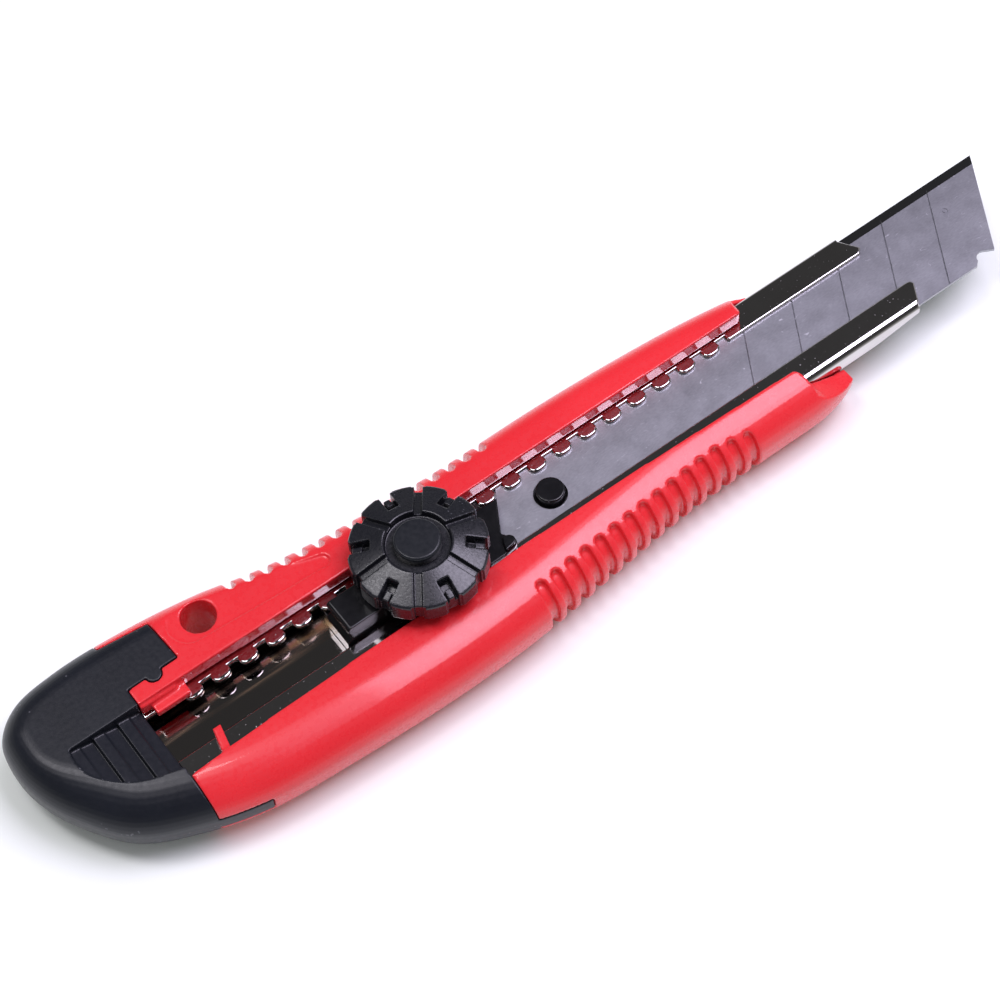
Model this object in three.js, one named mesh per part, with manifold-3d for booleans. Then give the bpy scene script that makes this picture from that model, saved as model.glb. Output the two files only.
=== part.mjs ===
// Snap-off knife with a lock wheel: an 18 mm blade in a folded steel channel, held in a moulded handle.
// Units are millimetres. +X points along the blade to its tip, +Y to the cutting edge, +Z out of the face.
// The origin lies on the flat of the handle's back, straight below the lock wheel's axis at rest.
import * as THREE from 'three';
import { mergeVertices } from 'three/addons/utils/BufferGeometryUtils.js';
import Module from 'manifold-3d';

const wasm = await Module();
wasm.setup();

// ---------- driving dimensions ----------
const BLADE_WIDTH = 18;
const BLADE_THICKNESS = 0.5;
const BLADE_LENGTH = 100;
const BLADE_TIP_X = 120;
const BLADE_Z = 9;
const SEGMENT_PITCH = 10;
const SEGMENT_COUNT = 9;
const SEGMENT_SLANT = THREE.MathUtils.degToRad(30);
const BEVEL_WIDTH = 1.7;
const SCORE_DEPTH = 0.12;
const SCORE_WIDTH = 0.24;
const HOLE_X = 24.4;
const HOLE_Y = -0.4;
const HOLE_DIAMETER = 5.5;
const PEG_DIAMETER = 4.6;

const SHEET = 0.6;
const CHANNEL_WIDTH = 19.5;
const CHANNEL_BOTTOM = 6.3;
const CHANNEL_TOP = 9.95;
const CHANNEL_REAR = -47.6;
const LIP_REACH = 4.5;
const UPPER_LIP_FRONT = 92;
const LOWER_LIP_FRONT = 95.6;
const NOSE_FLOOR_FRONT = 79;
const TOOTH_REACH = 3.9;
const TOOTH_PITCH = SEGMENT_PITCH / 2;
const TOOTH_COUNT = 21;
const FIRST_TOOTH_X = -39.1;
const NOTCH_DEPTH = 1.7;
const NOTCH_WIDTH = 1.6;

const FACE_Z = 12.8;
const FACE_RADIUS = 5;
const BACK_RADIUS = 6.3;
const CLEARANCE = 0.3;
const BODY_REAR = -47.3;
const ROLL_FRONT = 68.5;
const FLANGE_FRONT = 76.5;
const GROOVE_PITCH = 3;
const GROOVE_RADIUS = 1;
const LANYARD_X = -32;
const LANYARD_Y = 14;
const LANYARD_DIAMETER = 5.7;

const WHEEL_DIAMETER = 21.8;
const WHEEL_TOP = 20.3;
const WHEEL_RIM_Z = 18.6;
const WHEEL_RIM_CHAMFER = 0.4;
const WHEEL_PETALS = 6;
const WHEEL_TURN = THREE.MathUtils.degToRad(-5.6);
const WHEEL_GROOVE_WIDTH = 1.3;
const WHEEL_NOTCH_WIDTH = 1.6;
const WHEEL_GROOVE_DEPTH = 1;
const WHEEL_RECESS_DIAMETER = 10.4;
const WHEEL_RECESS_DEPTH = 1.3;
const WHEEL_CAP_DIAMETER = 7.4;
const WHEEL_CAP_TOP = 20.9;
const SCREW_DIAMETER = 5;
const NUT_ACROSS_FLATS = 8;

const SLIDER_REAR = -15.6;
const SLIDER_TOP = 14;
const SLIDER_NECK = 6;
const WASHER_THICKNESS = 0.5;

// ---------- materials ----------
const material = (name, color, roughness, metalness = 0) =>
  new THREE.MeshStandardMaterial({ name, color, roughness, metalness });
const redPlastic = material('body_red', 0xe5323c, 0.3);
const darkPlastic = material('cap_black', 0x282a32, 0.45);
const sliderPlastic = material('slider_black', 0x141418, 0.25);
const wheelPlastic = material('wheel_black', 0x1b1d22, 0.6);
const discPlastic = material('disc_black', 0x1c1e22, 0.45);
const polishedSteel = material('channel_steel', 0xc8c4c4, 0.08, 1);
const bladeSteel = material('blade_steel', 0x84838e, 0.35, 1);
const zincSteel = material('fastener_steel', 0xa9acb0, 0.3, 1);

// ---------- solids ----------
const MERGE_DISTANCE = 1e-4;

function solid(geometry) {
  geometry.deleteAttribute('normal');
  geometry.deleteAttribute('uv');
  const merged = mergeVertices(geometry, MERGE_DISTANCE);
  return new wasm.Manifold(new wasm.Mesh({
    numProp: 3,
    vertProperties: new Float32Array(merged.attributes.position.array),
    triVerts: new Uint32Array(merged.index.array),
  }));
}

function named(name, body, look) {
  const result = body.getMesh();
  const geometry = new THREE.BufferGeometry();
  geometry.setAttribute('position', new THREE.BufferAttribute(result.vertProperties, 3));
  geometry.setIndex(new THREE.BufferAttribute(result.triVerts, 1));
  geometry.computeVertexNormals();
  const mesh = new THREE.Mesh(geometry, look);
  mesh.name = name;
  return mesh;
}

function box(x0, x1, y0, y1, z0, z1) {
  const geometry = new THREE.BoxGeometry(x1 - x0, y1 - y0, z1 - z0);
  geometry.translate((x0 + x1) / 2, (y0 + y1) / 2, (z0 + z1) / 2);
  return solid(geometry);
}

// a vertical disc, or a prism with few sides
function disc(x, y, z0, z1, radius, sides = 32, turn = 0) {
  const geometry = new THREE.CylinderGeometry(radius, radius, z1 - z0, sides);
  geometry.rotateX(Math.PI / 2);
  geometry.rotateZ(turn);
  geometry.translate(x, y, (z0 + z1) / 2);
  return solid(geometry);
}

function prism(outline, z0, z1) {
  const shape = outline instanceof THREE.Shape ? outline : new THREE.Shape(outline);
  const settings = { depth: z1 - z0, bevelEnabled: false, curveSegments: 8 };
  const geometry = new THREE.ExtrudeGeometry(shape, settings);
  geometry.translate(0, 0, z0);
  return solid(geometry);
}

// a profile in the X-Z plane, carried across from y0 to y1
function crossPrism(profile, y0, y1) {
  const settings = { depth: y1 - y0, bevelEnabled: false };
  const geometry = new THREE.ExtrudeGeometry(new THREE.Shape(profile), settings);
  geometry.rotateX(Math.PI / 2);
  geometry.translate(0, y1, 0);
  return solid(geometry);
}

// a profile of [radius, height] pairs that starts and ends on the axis, turned round the wheel's axis
function lathe(profile, sides) {
  const geometry = new THREE.LatheGeometry(points(profile), sides);
  geometry.rotateX(Math.PI / 2);
  return solid(geometry);
}

const points = (pairs) => pairs.map(([x, y]) => new THREE.Vector2(x, y));
const unite = (bodies) => bodies.reduce((sum, body) => sum.add(body));
const cut = (body, tools) => tools.reduce((rest, tool) => rest.subtract(tool), body);

// ---------- handle form, shared by the body and the end cap ----------
// The plan outline runs round the handle, the +Y side first. It is drawn past the front and cut off there.
const HANDLE_PLAN = points([
  [85, -2], [83, 5], [77.5, 9], [70, 10.8], [60, 12.3], [47, 13.4], [31, 14.1], [12, 14.2], [-7, 15.3],
  [-20, 16.9], [-30, 19.2], [-42, 20.8], [-54, 21.2], [-62.4, 19.8], [-66.8, 16], [-67.8, 10.5], [-67, 5],
  [-64.7, -0.5], [-58.9, -8.5], [-50, -13.2], [-40, -16.2], [-25, -17.6], [-5, -18.4], [10, -17.9],
  [25, -16.3], [42, -14.6], [60, -14.4], [70, -14.2], [76, -12.5], [82, -8.5],
]);
const handleCurve = new THREE.CatmullRomCurve3(
  HANDLE_PLAN.map((p) => new THREE.Vector3(p.x, p.y, 0)), true, 'centripetal');
const PLAN_STEPS = 60;

function rounded(radius, z0, z1) {
  const plan = handleCurve.getPoints(PLAN_STEPS).slice(0, PLAN_STEPS).map((p) => new THREE.Vector2(p.x, p.y));
  const geometry = new THREE.ExtrudeGeometry(new THREE.Shape(plan), {
    depth: z1 - z0 - 2 * radius,
    bevelEnabled: true,
    bevelThickness: radius,
    bevelSize: radius,
    bevelOffset: -radius,
    bevelSegments: 4,
  });
  geometry.translate(0, 0, z0 + radius);
  return solid(geometry);
}

// two rounded prisms share the handle's outline: one gives the face its edge, the other the back
function handleForm() {
  const face = rounded(FACE_RADIUS, FACE_Z - 4 * FACE_RADIUS, FACE_Z);
  const back = rounded(BACK_RADIUS, 0, 4 * BACK_RADIUS);
  return face.intersect(back);
}

// ---------- end cap region ----------
const TAB_DEPTH = 2;
const TAB_PLAN = [[BODY_REAR - 1, 19], [-38.9, 17.8], [-38.4, 10], [BODY_REAR - 1, 9.8]];
const TAB_KNOB = { x: -42.8, y: 9.8, radius: 1.3 };
const TONGUE = { front: -39.2, inner: -13.4, bottom: 5, top: 7.7 };

// grow widens the tab and the tongue, so that the body's pockets clear the cap
function capRegion(grow) {
  const tabMiddle = (TAB_PLAN[1][1] + TAB_PLAN[2][1]) / 2;
  const tab = points(TAB_PLAN.map(([x, y]) => [x + grow, y + Math.sign(y - tabMiddle) * grow]));
  const tabBottom = FACE_Z - TAB_DEPTH - grow;
  return unite([
    box(-90, BODY_REAR - CLEARANCE + grow, -40, 40, -10, 30),
    prism(tab, tabBottom, FACE_Z + 10),
    disc(TAB_KNOB.x, TAB_KNOB.y, tabBottom, FACE_Z + 10, TAB_KNOB.radius + grow, 16),
    box(
      BODY_REAR - 5, TONGUE.front + grow, -40, TONGUE.inner + grow, TONGUE.bottom - grow, TONGUE.top + grow),
  ]);
}

// the path that the tab's knob sweeps as the cap comes off
const knobPath = () => box(
  BODY_REAR - 1, TAB_KNOB.x, TAB_KNOB.y - TAB_KNOB.radius - CLEARANCE, TAB_KNOB.y,
  FACE_Z - TAB_DEPTH - CLEARANCE, FACE_Z + 1);

// the body's tail spigot, and the cap's socket round it
const SPIGOT = { length: 9, side: -7, farSide: 13, bottom: 2.4, top: 5.2 };
const spigot = (grow) => box(
  BODY_REAR - SPIGOT.length - grow, BODY_REAR + 1, SPIGOT.side - grow, SPIGOT.farSide + grow,
  SPIGOT.bottom - grow, SPIGOT.top + grow);

// ---------- handle body ----------
const OPENING_PLAN = [
  [85, -8.3], [64, -7.7], [48, -7.25], [32, -6.9], [14, -6.8], [-16, -7], [-36, -7.3], [-60, -8.2],
  [-60, 6.9], [-36, 6.7], [-16, 6.4], [14, 6.35], [36, 6.25], [56, 6.1], [85, 6.1],
];
const POCKET_SIDE = CHANNEL_WIDTH / 2 + CLEARANCE;
// pockets in the floor under the channel, each from one x to another
const VOIDS = [[-44, -22], [-19.5, 2.5], [5, 27], [29.5, 51.5], [54, 70]];
const VOID_SIDE = 7.5;
const VOID_FLOOR = 2.3;
const UPPER_GRIP = [-25, 20];
const LOWER_GRIP = [13.5, 55.5];
const LIP_TOP = CHANNEL_TOP + CLEARANCE / 2;
// a thin bar that stands on the plain lip, and a ridge over the rear of the toothed lip
const CLIP_PLAN = [[-42, -9], [-40.5, -9], [-39.3, -3.3], [-40.7, -3.3]];
const CLIP_HEIGHT = 2.3;
const RIDGE = { front: -39.8, crest: -42, lowStep: 0.8, highStep: 0.6, inner: 4.9, outer: 8 };

// a row of vertical grooves along the plan outline between two x values, on one side
function gripGrooves([fromX, toX], side) {
  const outline = handleCurve.getSpacedPoints(400).filter((p) => Math.sign(p.y) === side);
  const count = Math.round((toX - fromX) / GROOVE_PITCH);
  const grooves = [];
  for (let i = 0; i <= count; i += 1) {
    const x = fromX + i * GROOVE_PITCH;
    const edge = outline.reduce((best, p) => (Math.abs(p.x - x) < Math.abs(best.x - x) ? p : best));
    grooves.push(disc(x, edge.y + side * 0.3, -1, FACE_Z + 1, GROOVE_RADIUS, 8));
  }
  return grooves;
}

function handleBody() {
  const frontRelief = crossPrism(points([
    [ROLL_FRONT, 20], [ROLL_FRONT, 10.4], [71, 8.8], [74, 7.4], [80, 7], [80, 20]]), -40, 40);
  const pocket = (x0, x1) => box(x0, x1, -VOID_SIDE, VOID_SIDE, VOID_FLOOR, CHANNEL_BOTTOM);
  const tools = [
    capRegion(CLEARANCE),
    knobPath(),
    box(FLANGE_FRONT, 120, -40, 40, -10, 30),
    box(-90, 90, -POCKET_SIDE, POCKET_SIDE, CHANNEL_BOTTOM - CLEARANCE, CHANNEL_TOP + CLEARANCE),
    prism(points(OPENING_PLAN), CHANNEL_TOP, FACE_Z + 5),
    frontRelief,
    disc(LANYARD_X, LANYARD_Y, -1, FACE_Z + 1, LANYARD_DIAMETER / 2, 24),
    ...VOIDS.map(([x0, x1]) => pocket(x0, x1)),
    ...gripGrooves(LOWER_GRIP, -1),
    ...gripGrooves(UPPER_GRIP, 1),
  ];
  const clip = prism(points(CLIP_PLAN), LIP_TOP, LIP_TOP + CLIP_HEIGHT);
  const ridgeTop = FACE_Z - RIDGE.highStep;
  const ridge = crossPrism(points([
    [BODY_REAR, LIP_TOP], [RIDGE.front, LIP_TOP], [RIDGE.front, LIP_TOP + RIDGE.lowStep],
    [RIDGE.crest, ridgeTop], [BODY_REAR, ridgeTop],
  ]), RIDGE.inner, RIDGE.outer);
  return unite([cut(handleForm(), tools), spigot(0), clip, ridge]);
}

// ---------- end cap ----------
const STEP_COUNT = 3;
const STEP_LENGTH = 4.1;
const STEP_RISE = 1.5;
const STEP_FALL = 0.35;
const STEP_START = 0.7;
const RECESS_REAR = -60;

// the thumb recess: a D in plan, floored by sloping treads with a riser facing the tail between each
function thumbRecess() {
  const d = new THREE.Shape();
  d.moveTo(BODY_REAR + 1, 6.8);
  d.lineTo(-59.6, 6.8);
  d.bezierCurveTo(-61, 2, -57.5, -1.6, -54.6, -3.4);
  d.bezierCurveTo(-52, -5, -49.5, -5.6, BODY_REAR + 1, -6.3);
  const floor = [[RECESS_REAR - 0.5, FACE_Z + 1]];
  for (let i = 0; i < STEP_COUNT; i += 1) {
    const x = RECESS_REAR + i * STEP_LENGTH;
    const z = FACE_Z - STEP_START - i * STEP_FALL;
    floor.push([x, z]);
    floor.push([x + STEP_LENGTH, z - STEP_RISE]);
  }
  floor.push([BODY_REAR + 1, FACE_Z - STEP_START - STEP_RISE - STEP_COUNT * STEP_FALL]);
  floor.push([BODY_REAR + 1, FACE_Z + 1]);
  return prism(d, FACE_Z - 5, FACE_Z + 5).intersect(crossPrism(points(floor), -20, 20));
}

function endCap() {
  const body = handleForm().intersect(capRegion(0));
  const channelRoom = box(
    CHANNEL_REAR - CLEARANCE, 0, -POCKET_SIDE, POCKET_SIDE, CHANNEL_BOTTOM - CLEARANCE, CHANNEL_TOP);
  return cut(body, [spigot(CLEARANCE), thumbRecess(), channelRoom]);
}

// ---------- steel channel ----------
// the toothed lip: half-round scallops with square notches between them, then a plain lip to the nose
function toothedLip() {
  const half = CHANNEL_WIDTH / 2;
  const root = TOOTH_REACH + NOTCH_DEPTH;
  const lip = new THREE.Shape();
  lip.moveTo(CHANNEL_REAR, half);
  lip.lineTo(CHANNEL_REAR, root);
  const tabHalf = (TOOTH_PITCH - NOTCH_WIDTH) / 2;
  const shoulder = TOOTH_REACH + 0.9;
  for (let k = 0; k < TOOTH_COUNT; k += 1) {
    const x = FIRST_TOOTH_X + k * TOOTH_PITCH;
    lip.lineTo(x - tabHalf, root);
    lip.lineTo(x - tabHalf, shoulder);
    lip.quadraticCurveTo(x - tabHalf, TOOTH_REACH, x, TOOTH_REACH);
    lip.quadraticCurveTo(x + tabHalf, TOOTH_REACH, x + tabHalf, shoulder);
    lip.lineTo(x + tabHalf, root);
  }
  const plainStart = FIRST_TOOTH_X + TOOTH_COUNT * TOOTH_PITCH - tabHalf;
  lip.lineTo(plainStart, root);
  lip.lineTo(plainStart, LIP_REACH);
  lip.lineTo(UPPER_LIP_FRONT, LIP_REACH);
  lip.lineTo(UPPER_LIP_FRONT + 1, LIP_REACH + 1.1);
  lip.lineTo(UPPER_LIP_FRONT - 1.4, half);
  const geometry = new THREE.ExtrudeGeometry(lip, { depth: SHEET, bevelEnabled: false, curveSegments: 3 });
  geometry.translate(0, 0, CHANNEL_TOP - SHEET);
  return solid(geometry);
}

function plainLip() {
  const half = CHANNEL_WIDTH / 2;
  const noseEnd = (y) => LOWER_LIP_FRONT + (y + LIP_REACH) * Math.tan(SEGMENT_SLANT);
  return prism(points([
    [CHANNEL_REAR, -half], [noseEnd(-half), -half], [noseEnd(-LIP_REACH - 0.9), -LIP_REACH - 0.9],
    [noseEnd(-LIP_REACH) - 0.7, -LIP_REACH - 0.1], [noseEnd(-LIP_REACH) - 1.4, -LIP_REACH],
    [CHANNEL_REAR, -LIP_REACH],
  ]), CHANNEL_TOP - SHEET, CHANNEL_TOP);
}

function bladeChannel() {
  const half = CHANNEL_WIDTH / 2;
  // each side wall tapers up to its lip over the nose
  const wall = (front, y0) => crossPrism(points([
    [CHANNEL_REAR, CHANNEL_BOTTOM], [NOSE_FLOOR_FRONT, CHANNEL_BOTTOM], [front, CHANNEL_TOP - SHEET],
    [front, CHANNEL_TOP], [CHANNEL_REAR, CHANNEL_TOP],
  ]), y0, y0 + SHEET);
  const floor = box(CHANNEL_REAR, NOSE_FLOOR_FRONT, -half, half, CHANNEL_BOTTOM, CHANNEL_BOTTOM + SHEET);
  const lowerFront = LOWER_LIP_FRONT - (half - LIP_REACH) * Math.tan(SEGMENT_SLANT);
  const upperFront = UPPER_LIP_FRONT - 1.4;
  return unite([floor, wall(upperFront, half - SHEET), wall(lowerFront, -half), toothedLip(), plainLip()]);
}

// ---------- blade ----------
function snapBlade() {
  const half = BLADE_WIDTH / 2;
  const lean = BLADE_WIDTH * Math.tan(SEGMENT_SLANT);
  const spineFront = BLADE_TIP_X - lean;
  const low = BLADE_Z - BLADE_THICKNESS / 2;
  const high = BLADE_Z + BLADE_THICKNESS / 2;
  const sheet = prism(points([
    [BLADE_TIP_X, half], [BLADE_TIP_X - BLADE_LENGTH, half], [BLADE_TIP_X - BLADE_LENGTH - lean, -half],
    [spineFront - 4.2, -half], [spineFront - 3.9, -half + 1.1], [spineFront - 3.4, -half + 1.5],
    [spineFront - 2, -half + 1.7], [spineFront + 0.35, -half + 0.6],
  ]), low, high);
  // two slopes meet at the cutting edge
  const slope = (z, away) => {
    const geometry = new THREE.BoxGeometry(BLADE_LENGTH + 20, BEVEL_WIDTH * 3, 1);
    geometry.translate(0, 0, away * 0.5);
    geometry.rotateX(-away * Math.atan2(BLADE_THICKNESS / 2 - 0.02, BEVEL_WIDTH));
    geometry.translate(BLADE_TIP_X - BLADE_LENGTH / 2, half - BEVEL_WIDTH, z);
    return solid(geometry).subtract(box(-50, 200, -50, half - BEVEL_WIDTH, -20, 50));
  };
  const scores = [];
  for (let k = 1; k <= SEGMENT_COUNT; k += 1) {
    const x = BLADE_TIP_X - k * SEGMENT_PITCH;
    const lineEnd = (y, side) => [x - (half - y) * Math.tan(SEGMENT_SLANT) + side * SCORE_WIDTH / 2, y];
    scores.push(prism(points([
      lineEnd(half + 1, -1), lineEnd(half + 1, 1), lineEnd(-half - 1, 1), lineEnd(-half - 1, -1),
    ]), high - SCORE_DEPTH, high + 1));
  }
  const hole = disc(HOLE_X, HOLE_Y, 0, 20, HOLE_DIAMETER / 2, 32);
  return cut(sheet, [slope(high, 1), slope(low, -1), hole, ...scores]);
}

// ---------- slider ----------
const SLIDER_FLOOR = CHANNEL_BOTTOM + SHEET + 0.1;
const UNDER_BLADE = BLADE_Z - BLADE_THICKNESS / 2 - 0.1;
const UNDER_LIPS = CHANNEL_TOP - SHEET - 0.1;
const PLATE = { half: 8, front: 5.6, rear: -5.6, thick: 1.3 };
const PLATE_TOP = UNDER_LIPS - 0.35;
const PEG_HEIGHT = 1.75;

function bladeSlider() {
  const half = CHANNEL_WIDTH / 2 - SHEET - 0.2;
  const lean = Math.tan(SEGMENT_SLANT);
  const rearOfBlade = BLADE_TIP_X - BLADE_LENGTH - CLEARANCE;
  const backing = (y) => rearOfBlade - (BLADE_WIDTH / 2 - y) * lean;
  const neck = SLIDER_NECK / 2;
  const base = box(SLIDER_REAR, HOLE_X + 4.6, -half, half, SLIDER_FLOOR, UNDER_BLADE);
  const filler = prism(points([
    [SLIDER_REAR + 3, -half], [backing(-half), -half], [backing(half), half], [SLIDER_REAR + 3, half],
  ]), SLIDER_FLOOR, UNDER_LIPS);
  const block = crossPrism(points([
    [SLIDER_REAR - 0.6, SLIDER_FLOOR], [9.6, SLIDER_FLOOR], [9.6, SLIDER_TOP], [SLIDER_REAR, SLIDER_TOP],
    [SLIDER_REAR, 12], [SLIDER_REAR - 0.6, 10.6],
  ]), -neck, neck);
  const barLow = CHANNEL_TOP + 0.1;
  const crossBar = prism(points([
    [9, -5.7], [12.2, -5.7], [14, -5], [14.9, -2.8], [13.7, -2.3], [16.6, 3.4], [9, 3.4],
  ]), barLow, barLow + 0.9);
  const barNeckPlan = points([[9, -3.4], [12.3, -3.4], [16.2, 3.4], [9, 3.4]]);
  const barNeck = prism(barNeckPlan, UNDER_LIPS - 0.2, barLow + 0.1);
  const peg = disc(HOLE_X, HOLE_Y, SLIDER_FLOOR, BLADE_Z + PEG_HEIGHT, PEG_DIAMETER / 2, 28);
  const screwHole = disc(0, 0, 0, 30, SCREW_DIAMETER / 2 + CLEARANCE, 24);
  const plateWindow = box(PLATE.rear - CLEARANCE, PLATE.front + CLEARANCE, -15, 15, 0, PLATE_TOP + 0.3);
  return cut(unite([base, filler, block, barNeck, crossBar, peg]), [
    plateWindow.subtract(box(-20, 20, -neck, neck, PLATE_TOP + 0.3, 20)),
    box(PLATE.rear - CLEARANCE, PLATE.front + CLEARANCE, neck, 15, 0, 20),
    box(PLATE.rear - CLEARANCE, PLATE.front + CLEARANCE, -15, -neck, 0, 20),
    screwHole,
  ]);
}

// ---------- clamp bolt: a wide flat head under the lips, and a threaded stem into the wheel ----------
const WHEEL_BOTTOM = SLIDER_TOP + WASHER_THICKNESS + CLEARANCE;
const NUT_TOP = WHEEL_BOTTOM + 2.2;
const NUT_RADIUS = NUT_ACROSS_FLATS / Math.sqrt(3);

function clampBolt() {
  const head = box(PLATE.rear, PLATE.front, -PLATE.half, PLATE.half, PLATE_TOP - PLATE.thick, PLATE_TOP);
  const stem = disc(0, 0, PLATE_TOP - 0.5, NUT_TOP - 0.1, SCREW_DIAMETER / 2 - 0.1, 24);
  return head.add(stem);
}

// ---------- washer, wheel, its nut and its cap ----------
function thrustWasher() {
  const z0 = SLIDER_TOP + 0.1;
  const ring = disc(0, 0, z0, z0 + WASHER_THICKNESS, 5, 32);
  return ring.subtract(disc(0, 0, 0, 30, SCREW_DIAMETER / 2 + CLEARANCE, 32));
}

function wheelNut() {
  const blank = disc(0, 0, WHEEL_BOTTOM + 0.1, NUT_TOP, NUT_RADIUS, 6);
  return blank.subtract(disc(0, 0, 0, 30, SCREW_DIAMETER / 2, 24));
}

const WHEEL_RADIUS = WHEEL_DIAMETER / 2;
const RECESS_RADIUS = WHEEL_RECESS_DIAMETER / 2;
const RECESS_FLOOR = WHEEL_TOP - WHEEL_RECESS_DEPTH;
const PETAL_SLOPE = (WHEEL_TOP - WHEEL_RIM_Z) / (WHEEL_RADIUS - WHEEL_RIM_CHAMFER - RECESS_RADIUS);

// all that is higher than a set depth under the petals' slope
function abovePetals(depth) {
  const height = (radius) => WHEEL_TOP - (radius - RECESS_RADIUS) * PETAL_SLOPE - depth;
  const far = WHEEL_RADIUS + 3;
  return lathe([[0, height(0)], [far, height(far)], [far, 40], [0, 40]], 48);
}

// a radial bar, turned to an angle round the wheel's axis
function spoke(x0, x1, width, z0, angle) {
  const geometry = new THREE.BoxGeometry(x1 - x0, width, 40 - z0);
  geometry.translate((x0 + x1) / 2, 0, (40 + z0) / 2);
  geometry.rotateZ(angle);
  return solid(geometry);
}

// petals slope down to the rim, with a groove between each pair and a notch in the middle of each
function lockWheel() {
  const blank = lathe([
    [0, WHEEL_BOTTOM], [WHEEL_RADIUS, WHEEL_BOTTOM], [WHEEL_RADIUS, WHEEL_RIM_Z - WHEEL_RIM_CHAMFER],
    [WHEEL_RADIUS - WHEEL_RIM_CHAMFER, WHEEL_RIM_Z], [RECESS_RADIUS, WHEEL_TOP],
    [RECESS_RADIUS, RECESS_FLOOR], [0, RECESS_FLOOR],
  ], 48);
  const outside = WHEEL_RADIUS + 1;
  const sixth = 2 * Math.PI / WHEEL_PETALS;
  const slots = [];
  const rimCuts = [];
  for (let i = 0; i < WHEEL_PETALS; i += 1) {
    const groove = WHEEL_TURN + i * sixth;
    const notch = groove + sixth / 2;
    slots.push(spoke(RECESS_RADIUS - 0.5, outside, WHEEL_GROOVE_WIDTH, WHEEL_BOTTOM, groove));
    slots.push(spoke(RECESS_RADIUS + 2, outside, WHEEL_NOTCH_WIDTH, WHEEL_BOTTOM, notch));
    rimCuts.push(spoke(WHEEL_RADIUS - 0.9, outside, WHEEL_GROOVE_WIDTH, WHEEL_BOTTOM - 1, groove));
    rimCuts.push(spoke(WHEEL_RADIUS - 0.9, outside, WHEEL_NOTCH_WIDTH, WHEEL_BOTTOM - 1, notch));
  }
  return cut(blank, [
    unite(slots).intersect(abovePetals(WHEEL_GROOVE_DEPTH)),
    ...rimCuts,
    disc(0, 0, 0, 30, SCREW_DIAMETER / 2 + 0.1, 24),
    disc(0, 0, WHEEL_BOTTOM - 1, NUT_TOP + 0.05, NUT_RADIUS + 0.1, 6),
  ]);
}

// a round cap with a stem that plugs the wheel's bore
function wheelCap() {
  const stem = SCREW_DIAMETER / 2 - CLEARANCE;
  const radius = WHEEL_CAP_DIAMETER / 2;
  const seat = RECESS_FLOOR + 0.1;
  return lathe([
    [0, NUT_TOP + CLEARANCE], [stem, NUT_TOP + CLEARANCE], [stem, seat], [radius, seat],
    [radius, WHEEL_CAP_TOP - 0.5], [radius - 0.5, WHEEL_CAP_TOP], [0, WHEEL_CAP_TOP],
  ], 32);
}

// ---------- assembly ----------
const knife = new THREE.Group();
knife.name = 'snap_off_knife';
knife.add(
  named('handle_body', handleBody(), redPlastic),
  named('end_cap', endCap(), darkPlastic),
  named('blade_channel', bladeChannel(), polishedSteel),
  named('snap_blade', snapBlade(), bladeSteel),
  named('blade_slider', bladeSlider(), sliderPlastic),
  named('clamp_bolt', clampBolt(), zincSteel),
  named('thrust_washer', thrustWasher(), zincSteel),
  named('wheel_nut', wheelNut(), zincSteel),
  named('lock_wheel', lockWheel(), wheelPlastic),
  named('wheel_cap', wheelCap(), discPlastic),
);
export default knife;
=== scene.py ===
# Looks for the snap-off knife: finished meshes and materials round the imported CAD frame.
# Lengths in the modelling functions are millimetres in the CAD frame; meshes are made in metres.
import math

import bmesh
import bpy
import numpy as np
from mathutils import Matrix, Vector


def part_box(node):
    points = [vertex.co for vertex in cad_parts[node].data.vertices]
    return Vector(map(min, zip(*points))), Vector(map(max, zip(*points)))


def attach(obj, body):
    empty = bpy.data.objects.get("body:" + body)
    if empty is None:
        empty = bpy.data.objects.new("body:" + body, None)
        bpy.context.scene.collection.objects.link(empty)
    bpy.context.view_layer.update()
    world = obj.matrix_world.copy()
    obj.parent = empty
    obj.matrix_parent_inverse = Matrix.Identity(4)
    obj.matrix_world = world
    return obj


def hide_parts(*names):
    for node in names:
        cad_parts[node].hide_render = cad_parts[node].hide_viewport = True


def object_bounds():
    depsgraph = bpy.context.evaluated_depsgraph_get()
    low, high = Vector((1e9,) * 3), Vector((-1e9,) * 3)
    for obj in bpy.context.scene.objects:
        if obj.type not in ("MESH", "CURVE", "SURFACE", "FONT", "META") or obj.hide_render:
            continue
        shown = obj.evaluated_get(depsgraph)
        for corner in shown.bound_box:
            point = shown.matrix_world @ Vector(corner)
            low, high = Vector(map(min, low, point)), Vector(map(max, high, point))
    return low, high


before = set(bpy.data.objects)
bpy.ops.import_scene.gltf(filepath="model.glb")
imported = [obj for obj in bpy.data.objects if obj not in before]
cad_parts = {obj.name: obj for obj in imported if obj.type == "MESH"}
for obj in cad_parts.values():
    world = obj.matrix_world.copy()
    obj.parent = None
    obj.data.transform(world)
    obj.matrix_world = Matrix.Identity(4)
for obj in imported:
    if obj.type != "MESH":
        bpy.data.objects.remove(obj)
cad_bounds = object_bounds()
MM = 0.001


def corners(node):
    """A CAD node's lowest and highest corners, in millimetres."""
    low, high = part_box(node)
    return [v / MM for v in low], [v / MM for v in high]


BODY_HIGH = corners("handle_body")[1]
CHANNEL_LOW, CHANNEL_HIGH = corners("blade_channel")
BLADE_LOW, BLADE_HIGH = corners("snap_blade")
SLIDER_LOW, SLIDER_HIGH = corners("blade_slider")
WHEEL_LOW, WHEEL_HIGH = corners("lock_wheel")
DISC_LOW, DISC_HIGH = corners("wheel_cap")
BOLT_LOW, BOLT_HIGH = corners("clamp_bolt")

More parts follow.
